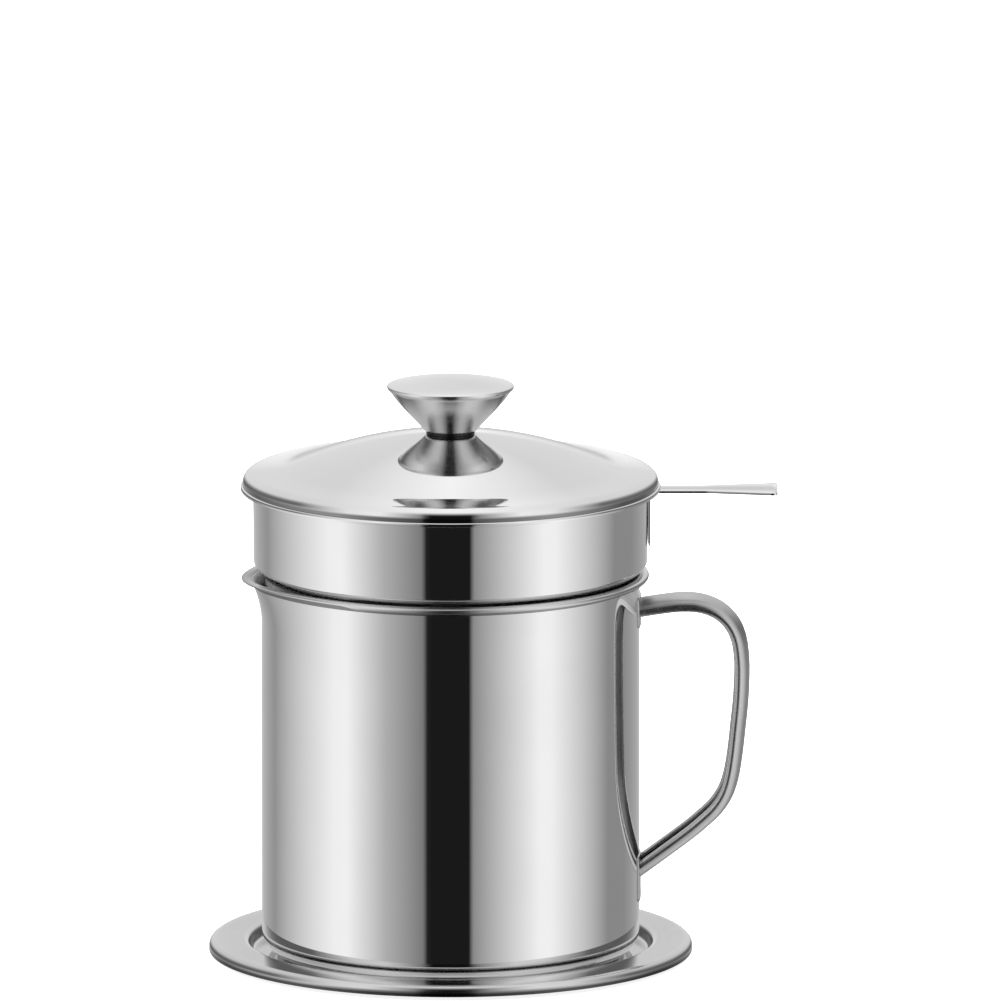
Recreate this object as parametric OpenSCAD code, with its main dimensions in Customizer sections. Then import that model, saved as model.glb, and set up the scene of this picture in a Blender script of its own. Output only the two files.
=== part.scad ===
// Stainless steel grease keeper for the hob: drip tray, pouring pot with a
// hollow strap handle, drop-in strainer and a domed lid with a conical knob.
// Millimetres, +Z up. The origin is on the pot's axis, in the surface that the
// tray stands on. Both handles point to +X and the pouring lip to -X.
// The pieces are drawn stacked, as they stand in use.

/* [Sheet steel] */
// Sheet thickness of the tray, the pot and the lid
sheet = 0.6; // [0.5:0.05:0.7]
// Sheet thickness of the strainer and of the lid's skirt
thin_sheet = 0.5; // [0.4:0.05:0.6]

/* [Drip tray] */
// Outer radius of the brim
tray_r = 80; // [76:0.5:86]
// Radius where the brim turns down into the dish
tray_mouth_r = 67.4; // [66.5:0.1:69]
// Radius of the flat floor
tray_floor_r = 64.5; // [63:0.1:65.5]
// Height of the brim's top above the table
tray_h = 5.1; // [4.6:0.1:9]
// Height of the brim's rolled outer edge
tray_edge_h = 3.6; // [2:0.1:3.8]
// Radius of the stamped ring in the floor
tray_ring_r = 36.5; // [30:0.5:42]

/* [Pot] */
// Outer radius of the wall
pot_r = 62.5; // [62.5:0.1:62.8]
// Height from the foot to the top of the rim
pot_h = 128; // [110:1:150]
// Outer radius of the corner between wall and base
pot_corner_r = 8; // [5:0.5:12]
// How far the rolled rim stands out from the wall
rim_out = 3.1; // [2:0.1:3.5]
// Height of the rolled rim
rim_h = 2.6; // [2:0.1:3]
// How far the pouring lip is pulled out from the wall
lip_out = 4; // [2:0.1:6]
// How far the tip of the pouring lip is pulled down
lip_drop = 2; // [0:0.1:3]
// Height of the flared part of the wall below the lip
lip_h = 17; // [12:1:24]

/* [Pot handle] */
// Width of the strap
strap_w = 15.6; // [12:0.2:20]
// Depth of the hollow strap, from its rolled edges to its crown
strap_d = 5.2; // [4:0.1:6]

/* [Strainer] */
// Outer radius of the brim
strainer_brim_r = 69.4; // [69.2:0.1:70.5]
// Outer radius of the wall just under the brim
strainer_r = 65.3; // [65.2:0.1:65.4]
// Outer radius of the narrow part that drops into the pot
strainer_low_r = 61.3; // [60.8:0.1:61.4]
// Depth from the top of the brim to the bottom
strainer_h = 35; // [34:0.5:40]
// Height of the strainer's brim above the pot's rim
strainer_seat = 29.2; // [29.2:0.1:29.6]
// Radius of one drain hole in the filter plate
hole_r = 1.4; // [0.8:0.1:2]
// Distance between neighbouring drain holes
hole_pitch = 9; // [8:0.5:12]
// Reach of the flat handle from the pot's axis
blade_x = 108; // [95:1:125]
// Width of the flat handle where it leaves the brim
blade_root_w = 10.5; // [8:0.5:14]
// Width of the flat handle at its end
blade_end_w = 19; // [14:0.5:24]

/* [Lid] */
// Outer radius of the turned down lip
lid_r = 68.7; // [68.5:0.1:69]
// Height of the dome above the edge of the lid
dome_h = 14.3; // [13.5:0.1:16]
// Depth of the turned down lip
lid_lip_h = 2.8; // [2:0.1:3.4]
// Outer radius of the skirt
skirt_r = 63.8; // [63:0.1:64]
// Depth of the skirt below the edge of the lid
skirt_h = 12.4; // [10:0.2:16]

/* [Knob] */
// Radius of the neck ring between the lid and the cone
neck_r = 8; // [7:0.1:8.4]
// Height of the neck ring
neck_h = 1; // [0.6:0.1:2]
// Radius at the bottom of the cone
cone_r = 8.6; // [8:0.1:10]
// Radius at the top of the cone
cone_top_r = 21; // [16:0.5:24]
// Height of the cone
cone_h = 14.8; // [12:0.1:20]
// Shank radius of the screw
screw_r = 2; // [1.5:0.25:2.5]

/* [Hidden] */

// Heights of the pieces when they are stacked
pot_z = sheet;
rim_z = pot_z + pot_h;
strainer_z = rim_z + strainer_seat;
lid_z = strainer_z + lid_lip_h;
knob_z = lid_z + dome_h;
cone_z = knob_z + neck_h;
cap_z = cone_z + cone_h;

steel = [0.78, 0.78, 0.79];
bright = [0.86, 0.86, 0.87];
dull = [0.66, 0.66, 0.67];
dark = [0.22, 0.22, 0.23];

// ---- small helpers for profiles made of bent sheet ----

function unit(v) = v / norm(v);

function rev(p) = [for (i = [len(p) - 1 : -1 : 0]) p[i]];

// Left hand normal of a polyline at its point i
function normal_at(p, i) =
    let (a = p[max(i - 1, 0)], b = p[min(i + 1, len(p) - 1)], d = unit(b - a))
    [-d[1], d[0]];

// The other face of a sheet, its points on a grid of 0.1 micrometre so that
// flat stretches stay exactly flat
function offset_line(p, t) =
    [for (i = [0 : len(p) - 1])
        let (q = p[i] + t * normal_at(p, i))
        [round(q[0] * 1e4) / 1e4, round(q[1] * 1e4) / 1e4]];

// Points of an arc about c, from angle a0 to a1, in n steps
function arc(c, r, a0, a1, n) =
    [for (i = [0 : n]) let (a = a0 + (a1 - a0) * i / n) c + r * [cos(a), sin(a)]];

// Smooth step from 0 to 1
function ease(t) = let (u = min(max(t, 0), 1)) (1 - cos(180 * u)) / 2;

function bell(x) = exp(-x * x);

// One point of a curve that runs through the points p, at place t
function spline_at(p, t) =
    let (n = len(p) - 1, i = min(floor(t), n - 1), u = t - i,
         a = p[max(i - 1, 0)], b = p[i], c = p[i + 1], d = p[min(i + 2, n)])
    0.5 * (2 * b + (c - a) * u + (2 * a - 5 * b + 4 * c - d) * u * u
           + (3 * b - a - 3 * c + d) * u * u * u);

function spline(p, steps) =
    [for (i = [0 : (len(p) - 1) * steps]) spline_at(p, i / steps)];

// A turned sheet piece: p is one face of the sheet, t its thickness to the left
module turned_sheet(p, t)
    rotate_extrude($fn = 160) polygon(concat(p, rev(offset_line(p, t))));

// A turned sheet piece about the middle of the sheet
module turned_mid(p, t)
    rotate_extrude($fn = 160)
        polygon(concat(offset_line(p, -t / 2), rev(offset_line(p, t / 2))));

// ---- drip tray ----

// Upper face of the tray, from the axis to the turned down edge
tray_line = concat(
    [[0, sheet]],
    [for (i = [0 : 8])
        [tray_ring_r - 3.2 + 0.8 * i, sheet + 0.2 * (1 - cos(45 * i)) / 2]],
    [for (i = [0 : 12]) let (t = i / 12)
        [tray_floor_r + (tray_mouth_r - tray_floor_r) * t,
         sheet + (tray_h - sheet) * ease(t)]],
    [[tray_mouth_r + 0.8, tray_h]],
    [for (a = [0 : 15 : 90]) [tray_r - 4 + 4 * sin(a),
        tray_h - (tray_edge_h - 0.4) * (1 - cos(a))]],
    [[tray_r, tray_h - tray_edge_h]]);

module drip_tray() color(steel) turned_sheet(tray_line, -sheet);

// ---- pot ----

// Columns of the wall: closer together round the pouring lip, at 180 degrees
lip_half = 64;
pot_angles = concat(
    [for (i = [0 : 39]) 180 - lip_half + 2 * lip_half * i / 40],
    [for (i = [0 : 43]) 180 + lip_half + (360 - 2 * lip_half) * i / 44]);

// Angle from the middle of the pouring lip, 0 to 180
function from_lip(a) = abs(((a - 180 + 540) % 360) - 180);

// How much of the lip's pull is felt at height z of the pot
function lip_rise(z) = pow(max(0, min(1, (z - pot_h + lip_h) / lip_h)), 1.8);

function lip_pull(a, z) = lip_out * bell(from_lip(a) / 19) * lip_rise(z);

function lip_sink(a, z) = lip_drop * bell(from_lip(a) / 32) * lip_rise(z);

// The roll is pressed flatter along the pouring lip
function roll_flat(a) = 1 - 0.42 * ease((lip_half - from_lip(a)) / 9);

// The roll is a little narrower on both sides of the tip
function roll_narrow(a) = 1 - 0.2 * bell((from_lip(a) - 42) / 13);

rim_rx = (rim_out + sheet) / 2;
rim_rz = rim_h / 2;
pot_in = pot_r - sheet;
foot_step_r = 46;

// Closed section of the pot, from under the base, up the outside, over the
// roll and down the inside. Each row is [radius, height].
pot_rows = concat(
    [[foot_step_r, 0.7], [foot_step_r + 1.5, 0]],
    arc([pot_r - pot_corner_r, pot_corner_r], pot_corner_r, -90, 0, 6),
    [for (d = [lip_h, 14, 11, 8.5, 6.2, 4.2]) [pot_r, pot_h - d]],
    [for (t = [-132.5, -105, -78, -50, -22, 8, 38, 66, 94, 122, 150, 180])
        [pot_in + rim_rx + rim_rx * cos(t), pot_h - rim_rz + rim_rz * sin(t)]],
    [for (d = [4.2, 6.2, 8.5, 11, 14, lip_h]) [pot_in, pot_h - d]],
    arc([pot_r - pot_corner_r, pot_corner_r], pot_corner_r - sheet, 0, -90, 6),
    [[foot_step_r + 1.3, sheet], [foot_step_r - 0.2, sheet + 0.7]]);

// Where a point of the section lies once the lip is pulled and the roll pressed
function pot_point(a, q) =
    let (top = q[1] > pot_h - rim_h,
         dz = top ? (pot_h - q[1]) * roll_flat(a) : pot_h - q[1],
         z = pot_h - max(dz, top ? 0 : (pot_h - q[1])),
         w = q[0] > pot_r && top ? pot_r + (q[0] - pot_r) * roll_narrow(a) : q[0],
         r = w + lip_pull(a, q[1]))
    [r * cos(a), r * sin(a), z - lip_sink(a, q[1])];

module pot_body() {
    n = len(pot_angles);
    m = len(pot_rows);
    points = concat(
        [for (q = pot_rows) for (a = pot_angles) pot_point(a, q)],
        [[0, 0, 0.7], [0, 0, sheet + 0.7]]);
    sides = [for (k = [0 : m - 2]) for (i = [0 : n - 1])
        let (j = (i + 1) % n, a = k * n + i, b = k * n + j,
             c = (k + 1) * n + j, d = (k + 1) * n + i)
        each [[a, d, c], [a, c, b]]];
    under = [for (i = [0 : n - 1]) [m * n, i, (i + 1) % n]];
    inside = [for (i = [0 : n - 1])
        [m * n + 1, (m - 1) * n + (i + 1) % n, (m - 1) * n + i]];
    color(bright) translate([0, 0, pot_z])
        polyhedron(points = points, faces = concat(sides, under, inside));
}

// ---- pot handle ----

// Middle of the strap's depth, in the plane y = 0, above the pot's foot
strap_path = [[61.5, 116], [69, 117.2], [76, 118], [82.5, 117.6], [88.3, 115.4],
    [92.7, 111.3], [95.2, 106], [96.2, 99], [96.3, 92], [95.9, 84], [95.1, 76],
    [94, 66], [92.7, 58.5], [90.8, 53], [87.6, 48.2], [83, 43.8], [78.7, 40.2],
    [71, 34.4], [61.5, 27.4]];

// Half of the strap's section: [across, depth from the rolled edge], both as
// millimetres of a strap 16 wide and 5 deep. The sheet ends in a rolled bead.
half_section = [[0, 5], [2.4, 4.88], [4.6, 4.5], [6.4, 3.85], [7.5, 2.95],
    [8, 1.9], [7.95, 0.95], [7.45, 0.25], [6.7, 0], [5.95, 0.25], [5.7, 0.95],
    [6.15, 1.5], [6.9, 1.95], [6.75, 2.6], [5.8, 3.25], [4.2, 3.75],
    [2.2, 4.1], [0, 4.2]];

foot_t = 0.5;
foot_face_r = pot_r + foot_t;

module pot_handle() {
    line = spline(strap_path, 2);
    n = len(line);
    half = [for (q = half_section) [q[0] * strap_w / 16, q[1] * strap_d / 5]];
    loop = concat(half,
        [for (i = [len(half) - 2 : -1 : 1]) [-half[i][0], half[i][1]]]);
    m = len(loop);
    // ring of points at station k; the two ends are cut to the foot plates
    rings = [for (k = [0 : n - 1])
        let (d = unit(line[min(k + 1, n - 1)] - line[max(k - 1, 0)]),
             out = [-d[1], d[0]])
        [for (q = loop)
            let (p = line[k] + (q[1] - strap_d / 2) * out,
                 s = (k == 0 || k == n - 1)
                     ? (sqrt(foot_face_r * foot_face_r - q[0] * q[0]) - p[0]) / d[0]
                     : 0)
            [p[0] + s * d[0], q[0], p[1] + s * d[1]]]];
    points = [for (r = rings) each r];
    sides = [for (k = [0 : n - 2]) for (i = [0 : m - 1])
        let (j = (i + 1) % m, a = k * m + i, b = k * m + j,
             c = (k + 1) * m + j, e = (k + 1) * m + i)
        each [[a, c, e], [a, b, c]]];
    // the section is a ribbon, so each end closes with a strip across it
    h = len(half);
    caps = [for (i = [0 : h - 2]) i];
    function cap_faces(o, flip) = concat(
        [for (i = [0 : floor((h - 1) / 2) - 1])
            each quad(o + i, o + i + 1, o + h - 2 - i, o + h - 1 - i, flip)],
        [for (i = [0 : floor((h - 1) / 2) - 1])
            let (u = function (x) x == 0 ? 0 : x == h - 1 ? h - 1 : m - x)
            each quad(o + u(i), o + u(i + 1), o + u(h - 2 - i),
                      o + u(h - 1 - i), !flip)],
        []);
    function quad(a, b, c, d, flip) = b == c
        ? (flip ? [[a, b, d]] : [[a, d, b]])
        : (flip ? [[a, b, c], [a, c, d]] : [[a, c, b], [a, d, c]]);
    color(steel) translate([0, 0, pot_z])
        polyhedron(points = points,
            faces = concat(sides, cap_faces(0, false),
                           cap_faces((n - 1) * m, true)));
}

// A thin plate that hugs the wall, w wide, from height z0 to z1 of the pot
module wall_plate(w, z0, z1, corner) {
    color(dull) translate([0, 0, pot_z]) intersection() {
        difference() {
            translate([0, 0, z0 - 1])
                cylinder(r = foot_face_r, h = z1 - z0 + 2, $fn = 160);
            translate([0, 0, z0 - 2])
                cylinder(r = pot_r, h = z1 - z0 + 4, $fn = 160);
        }
        translate([50, 0, (z0 + z1) / 2]) rotate([90, 0, 90])
            linear_extrude(height = 20) {
                square([w - 2 * corner, z1 - z0], center = true);
                square([w, z1 - z0 - 2 * corner], center = true);
                for (x = [-1, 1], y = [-1, 1])
                    translate([x * (w / 2 - corner), y * ((z1 - z0) / 2 - corner)])
                        circle(r = corner, $fn = 48);
            }
    }
}

module handle_upper_foot() wall_plate(19, 110, 120.4, 2);

module handle_lower_foot() wall_plate(19, 17.9, 33.4, 2);

// ---- strainer ----

low_mid = strainer_low_r - thin_sheet / 2;
top_mid = strainer_r - thin_sheet / 2;
shoulder_top = -25.3;
shoulder_len = 5.5;
strainer_corner = 2.25;
ht = thin_sheet / 2;

// Middle of the sheet, from the brim's turned edge down to the bottom flange
strainer_line = concat(
    [[strainer_brim_r - ht, -1.3], [strainer_brim_r - ht, -0.85],
     [strainer_brim_r - ht - 0.15, -0.5], [strainer_brim_r - ht - 0.5, -0.3],
     [strainer_brim_r - ht - 0.9, -ht], [top_mid + 1.2, -ht],
     [top_mid + 0.65, -0.4], [top_mid + 0.25, -0.75], [top_mid, -1.5]],
    [for (i = [0 : 12]) let (t = i / 12)
        [top_mid - 0.25 - (top_mid - 0.25 - low_mid) * ease(t),
         shoulder_top - shoulder_len * t]],
    [[low_mid, -strainer_h + ht + strainer_corner + 0.2]],
    arc([low_mid - strainer_corner, -strainer_h + ht + strainer_corner],
        strainer_corner, 0, -90, 5),
    [[low_mid - strainer_corner - 4.3, -strainer_h + ht]]);

flange_in_r = low_mid - strainer_corner - 4.3;
plate_r = low_mid - strainer_corner - 0.1;
plate_t = 0.4;

module strainer_bowl() color(bright) translate([0, 0, strainer_z])
    turned_mid(strainer_line, thin_sheet);

module filter_plate() {
    reach = flange_in_r - 3;
    rows = floor(reach / (hole_pitch * sin(60)));
    color(dull) translate([0, 0, strainer_z - strainer_h + thin_sheet])
        linear_extrude(height = plate_t) difference() {
            circle(r = plate_r, $fn = 160);
            for (j = [-rows : rows], i = [-rows - 2 : rows + 2]) {
                x = (i + (abs(j) % 2) / 2) * hole_pitch;
                y = j * hole_pitch * sin(60);
                if (norm([x, y]) < reach)
                    translate([x, y]) circle(r = hole_r, $fn = 24);
            }
        }
}

module filter_clamp_ring()
    color(steel)
        translate([0, 0, strainer_z - strainer_h + thin_sheet + plate_t])
            rotate_extrude($fn = 160)
                translate([flange_in_r + 0.8, 0]) square([plate_r - flange_in_r - 1, 0.6]);

blade_t = 0.9;
blade_z = -1.35;
leg_in = strainer_r + 0.05;

module strainer_handle() color(steel) translate([0, 0, strainer_z]) {
    difference() {
        union() {
            // the blade, with softened end corners
            translate([0, 0, blade_z - blade_t]) linear_extrude(height = blade_t) {
                polygon([[60, -blade_root_w / 2], [84, -blade_root_w / 2],
                         [blade_x - 1.5, -blade_end_w / 2 + 0.3],
                         [blade_x - 1.5, blade_end_w / 2 - 0.3],
                         [84, blade_root_w / 2], [60, blade_root_w / 2]]);
                translate([blade_x - 2.5, -blade_end_w / 2 + 1.75])
                    square([2.5, blade_end_w - 3.5]);
                for (s = [-1, 1])
                    translate([blade_x - 1.5, s * (blade_end_w / 2 - 1.8)])
                        circle(r = 1.5, $fn = 32);
            }
            // the leg that is welded to the wall
            translate([leg_in - 2, -blade_root_w / 2, -20])
                cube([2.9, blade_root_w, 20 + blade_z - blade_t / 2]);
        }
        translate([0, 0, -30]) cylinder(r = leg_in, h = 40, $fn = 160);
    }
}

// ---- lid ----

// Upper face of the lid: flat seat of the knob, dome, flat flange and the
// rounded edge down to the lip. Each point is [radius, height over the edge].
edge_h = 1.45;
dome_points = [[screw_r + 0.3, dome_h], [8.5, dome_h], [13, dome_h - 0.43],
    [18, dome_h - 1.1], [26, dome_h - 2.54], [34, dome_h - 4.46],
    [42, dome_h - 6.9], [48, dome_h - 9.1], [51, dome_h - 10.3],
    [53, dome_h - 11.1], [54.5, dome_h - 11.6], [56, dome_h - 11.93],
    [57.5, edge_h + 0.7], [60, edge_h + 0.4], [62.5, edge_h + 0.17],
    [65, edge_h], [lid_r - 2.1, edge_h - 0.4], [lid_r - 0.9, edge_h - 1.2],
    [lid_r - 0.25, edge_h - 2.15]];

lid_line = concat(
    [[screw_r + 0.3, dome_h]],
    [for (i = [2 : 36]) spline_at(dome_points, i / 2)],
    [[lid_r, edge_h - 3.1], [lid_r, -lid_lip_h]]);

// Height of the dome's upper face at radius r
function dome_z(r) = lookup(r, [for (p = lid_line) if (p[0] < lid_r - 1) p]);

module lid_shell() color(steel) translate([0, 0, lid_z])
    turned_sheet(lid_line, -sheet);

skirt_mid = skirt_r - ht;

// Middle of the skirt's sheet: flange under the dome, wall, groove, bead
skirt_line = concat(
    [for (r = [58.5, 59.7, 60.9, 62]) [r, dome_z(r) - sheet - ht - 0.08]],
    [[skirt_mid - 0.6, dome_z(skirt_mid) - sheet - ht - 0.12],
     [skirt_mid - 0.1, dome_z(skirt_mid) - sheet - 0.85],
     [skirt_mid, -0.6], [skirt_mid, -skirt_h + 3.2],
     [skirt_mid - 0.12, -skirt_h + 2.95], [skirt_mid - 0.55, -skirt_h + 2.8],
     [skirt_mid - 0.6, -skirt_h + 2.55], [skirt_mid - 0.2, -skirt_h + 2.35],
     [skirt_mid + 0.2, -skirt_h + 2], [skirt_mid + 0.3, -skirt_h + 1.4],
     [skirt_mid + 0.15, -skirt_h + 0.8], [skirt_mid - 0.25, -skirt_h + 0.4],
     [skirt_mid - 0.9, -skirt_h + ht]]);

module lid_skirt() color(bright) translate([0, 0, lid_z])
    turned_mid(skirt_line, thin_sheet);

// ---- knob ----

knob_sheet = 0.8;

module knob_neck_washer() color(dark) translate([0, 0, knob_z])
    difference() {
        cylinder(r = neck_r, h = neck_h, $fn = 96);
        translate([0, 0, -1]) cylinder(r = screw_r + 0.3, h = neck_h + 2, $fn = 48);
    }

// Outer face of the cone, a little fuller than a straight cone
cone_line = concat(
    [[screw_r + 0.3, 0], [cone_r - 0.3, 0], [cone_r + 0.1, 0.2]],
    [for (i = [1 : 11]) let (t = i / 12)
        [cone_r + 0.2 + (cone_top_r - cone_r - 0.5) * t + 1.1 * sin(180 * t) * t,
         0.2 + (cone_h - 0.6) * t]],
    [[cone_top_r - 0.12, cone_h - 0.8], [cone_top_r, cone_h - 0.4],
     [cone_top_r, cone_h]]);

module knob_cone() color(bright) translate([0, 0, cone_z])
    turned_sheet(cone_line, knob_sheet);

// Top disc, slightly crowned, with a rounded edge
cap_line = [[0, 0.95], [6, 0.92], [12, 0.82], [17, 0.66], [cone_top_r - 1.2, 0.52],
    [cone_top_r - 0.45, 0.42], [cone_top_r - 0.08, 0.25], [cone_top_r, 0]];

module knob_cap() color(steel) translate([0, 0, cap_z])
    rotate_extrude($fn = 128) polygon(concat([[0, 0]], rev(cap_line)));

insert_r = 4.4;
insert_h = 9;

module knob_threaded_insert() color("goldenrod")
    translate([0, 0, cone_z + knob_sheet]) difference() {
        union() {
            cylinder(r = insert_r, h = insert_h, $fn = 64);
            cylinder(r = insert_r + 2, h = 1.2, $fn = 64);
        }
        translate([0, 0, -1]) cylinder(r = screw_r, h = insert_h + 2, $fn = 48);
    }

washer_t = 0.8;
head_h = 2.2;
head_top = knob_z - sheet - washer_t;

module lid_screw() color(dull) difference() {
    union() {
        translate([0, 0, head_top])
            cylinder(r = screw_r, h = cone_z + knob_sheet + insert_h - 1 - head_top,
                     $fn = 48);
        translate([0, 0, head_top - head_h])
            cylinder(r1 = 3.3, r2 = 3.9, h = head_h, $fn = 64);
    }
    // cross recess
    for (a = [0, 90]) rotate([0, 0, a])
        translate([-2.1, -0.45, head_top - head_h - 1]) cube([4.2, 0.9, 2.4]);
}

module screw_washer() color(steel) translate([0, 0, head_top]) difference() {
    cylinder(r = 6.5, h = washer_t, $fn = 64);
    translate([0, 0, -1]) cylinder(r = screw_r + 0.3, h = washer_t + 2, $fn = 48);
}

drip_tray();
pot_body();
pot_handle();
handle_upper_foot();
handle_lower_foot();
strainer_bowl();
filter_plate();
filter_clamp_ring();
strainer_handle();
lid_shell();
lid_skirt();
knob_neck_washer();
knob_cone();
knob_cap();
knob_threaded_insert();
lid_screw();
screw_washer();
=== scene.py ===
"""Looks of the stainless steel grease keeper: every visible piece is rebuilt as a smooth sheet metal
mesh on the frame's own dimensions, with procedural steel finishes, under plain soft studio light."""

import math

import bpy
import numpy as np
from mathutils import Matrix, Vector


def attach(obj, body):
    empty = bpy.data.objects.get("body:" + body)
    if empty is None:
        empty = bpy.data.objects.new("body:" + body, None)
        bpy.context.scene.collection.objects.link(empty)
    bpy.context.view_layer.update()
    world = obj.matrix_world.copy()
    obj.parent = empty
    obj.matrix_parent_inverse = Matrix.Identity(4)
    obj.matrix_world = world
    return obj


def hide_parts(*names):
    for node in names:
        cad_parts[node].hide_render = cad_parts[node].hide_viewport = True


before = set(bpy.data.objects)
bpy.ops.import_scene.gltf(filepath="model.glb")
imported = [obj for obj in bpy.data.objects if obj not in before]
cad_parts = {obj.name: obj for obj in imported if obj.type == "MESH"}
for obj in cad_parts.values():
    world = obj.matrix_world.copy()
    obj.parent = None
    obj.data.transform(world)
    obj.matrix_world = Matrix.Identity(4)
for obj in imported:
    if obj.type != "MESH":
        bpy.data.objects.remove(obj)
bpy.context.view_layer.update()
MM = 0.001
scene = bpy.context.scene

# ------------------------------------------------------------------ camera
# The photograph's view: straight on, a little from above, with a long lens.
ELEV = math.radians(10.8)
DIST = 10.0
TARGET = Vector((0.0165, 0.0, 0.1522))
FRAME_H = 0.3305  # metres that the picture is high at the target

cam_data = bpy.data.cameras.new("camera")
cam_data.sensor_width = 36.0
cam_data.lens = 36.0 * DIST / FRAME_H
cam_data.clip_start = 0.05
cam_data.clip_end = 60.0
camera = bpy.data.objects.new("camera", cam_data)
scene.collection.objects.link(camera)
camera.location = TARGET + Vector((0, -math.cos(ELEV), math.sin(ELEV))) * DIST
camera.rotation_euler = (TARGET - camera.location).to_track_quat("-Z", "Y").to_euler()
scene.camera = camera

# ------------------------------------------------------------------ numbers of the frame, mm
SHEET, THIN = 0.6, 0.5
TRAY_R, TRAY_MOUTH, TRAY_FLOOR, TRAY_H, TRAY_RING, TRAY_EDGE_H = 80.0, 67.4, 64.5, 5.1, 36.5, 3.6
POT_R, POT_H, POT_CORNER = 62.5, 128.0, 8.0
RIM_OUT, RIM_H = 3.1, 2.6
LIP_OUT, LIP_DROP, LIP_H, LIP_HALF = 4.0, 2.0, 17.0, 64.0
STRAP_W, STRAP_D = 15.6, 5.2
SB_R, S_R, S_LOW, S_H, S_SEAT = 69.4, 65.3, 61.3, 35.0, 29.2
LID_R, DOME_H, EDGE_H, LID_LIP, SKIRT_R, SKIRT_H = 68.7, 14.3, 1.45, 2.8, 63.8, 12.4
FOOT_T = 0.5
NECK_R, NECK_H = 8.0, 1.0
CONE_R, CONE_TOP, CONE_H = 8.6, 21.0, 14.8
SCREW_R = 2.0
POT_Z = SHEET
S_Z = POT_Z + POT_H + S_SEAT
LID_Z = S_Z + LID_LIP
KNOB_Z = LID_Z + DOME_H
CONE_Z = KNOB_Z + NECK_H
CAP_Z = CONE_Z + CONE_H


# ------------------------------------------------------------------ curve helpers
def ease(t):
    t = np.clip(t, 0, 1)
    return (1 - np.cos(np.pi * t)) / 2


def bell(x):
    return np.exp(-np.asarray(x, float) ** 2)


def arc(c, r, a0, a1, n):
    a = np.radians(np.linspace(a0, a1, n + 1))
    return [(c[0] + r * math.cos(x), c[1] + r * math.sin(x)) for x in a]


def spline(points, steps):
    """Catmull-Rom curve through the points."""
    p = np.asarray(points, float)
    n = len(p) - 1
    out = []
    for k in range(n * steps + 1):
        t = k / steps
        i = min(int(t), n - 1)
        u = t - i
        a, b, c, d = p[max(i - 1, 0)], p[i], p[i + 1], p[min(i + 2, n)]
        out.append(0.5 * (2 * b + (c - a) * u + (2 * a - 5 * b + 4 * c - d) * u * u + (3 * b - a - 3 * c + d) * u ** 3))
    return np.array(out)


def clean(p, gap=0.004):
    """The polyline without points closer than gap."""
    out = [np.asarray(p[0], float)]
    for q in p[1:]:
        q = np.asarray(q, float)
        if np.linalg.norm(q - out[-1]) > gap:
            out.append(q)
    return np.array(out)


def soften(p, passes=1):
    """Corner cutting that keeps the two end points."""
    p = np.asarray(p, float)
    for _ in range(passes):
        q = [p[0]]
        for a, b in zip(p[:-1], p[1:]):
            q += [0.75 * a + 0.25 * b, 0.25 * a + 0.75 * b]
        q.append(p[-1])
        p = np.array(q)
    return p


def normals(p):
    d = np.gradient(p, axis=0)
    d /= np.linalg.norm(d, axis=1)[:, None]
    return np.stack([-d[:, 1], d[:, 0]], 1)


def offset(p, t):
    return p + t * normals(p)


def sheet_loop(line, lo, hi, round_ends=(True, True)):
    """Closed section of a bent sheet between the offsets lo and hi of a line, with round ends."""
    line = clean(line)
    n = normals(line)
    a, b = line + lo * n, line + hi * n
    t = hi - lo
    loop = list(a)
    if round_ends[1]:
        c, e = (a[-1] + b[-1]) / 2, (a[-1] - b[-1]) / 2
        f = np.array([-e[1], e[0]])
        if np.dot(f, line[-1] - line[-2]) < 0:
            f = -f
        loop += [c + e * math.cos(x) + f * 0.9 * math.sin(x) for x in np.linspace(0, math.pi, 9)[1:-1]]
    loop += list(b[::-1])
    if round_ends[0]:
        c, e = (a[0] + b[0]) / 2, (b[0] - a[0]) / 2
        f = np.array([-e[1], e[0]])
        if np.dot(f, line[0] - line[1]) < 0:
            f = -f
        loop += [c + e * math.cos(x) + f * 0.9 * math.sin(x) for x in np.linspace(0, math.pi, 9)[1:-1]]
    return np.array(loop)


# ------------------------------------------------------------------ mesh helpers
def make(name, verts, faces, mats, body, nodes, smooth=38.0, index=None):
    me = bpy.data.meshes.new(name)
    me.from_pydata([tuple(v) for v in verts], [], [tuple(f) for f in faces])
    me.validate()
    for m in mats if isinstance(mats, (list, tuple)) else [mats]:
        me.materials.append(m)
    if index is not None:
        me.polygons.foreach_set("material_index", np.asarray(index, dtype=np.int32))
    me.polygons.foreach_set("use_smooth", [True] * len(me.polygons))
    me.set_sharp_from_angle(angle=math.radians(smooth))
    me.update()
    o = bpy.data.objects.new(name, me)
    scene.collection.objects.link(o)
    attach(o, body)
    if nodes:
        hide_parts(*nodes)
    return o


def lathe_data(loop, seg, dz=0.0, closed=True):
    """Vertices and faces of a section turned about Z. Points on the axis become one vertex."""
    loop = np.asarray(loop, float)
    ang = np.linspace(0, 2 * np.pi, seg, endpoint=False)
    verts, rows = [], []
    for r, z in loop:
        if r < 1e-6:
            rows.append([len(verts)])
            verts.append((0.0, 0.0, (z + dz) * MM))
        else:
            rows.append(list(range(len(verts), len(verts) + seg)))
            for a in ang:
                verts.append((r * math.cos(a) * MM, r * math.sin(a) * MM, (z + dz) * MM))
    faces = []
    n = len(rows)
    for k in range(n if closed else n - 1):
        a, b = rows[k], rows[(k + 1) % n]
        if len(a) == 1 and len(b) == 1:
            continue
        for i in range(seg):
            j = (i + 1) % seg
            if len(a) == 1:
                faces.append((a[0], b[j], b[i]))
            elif len(b) == 1:
                faces.append((a[i], a[j], b[0]))
            else:
                faces.append((a[i], a[j], b[j], b[i]))
    return verts, faces


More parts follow.
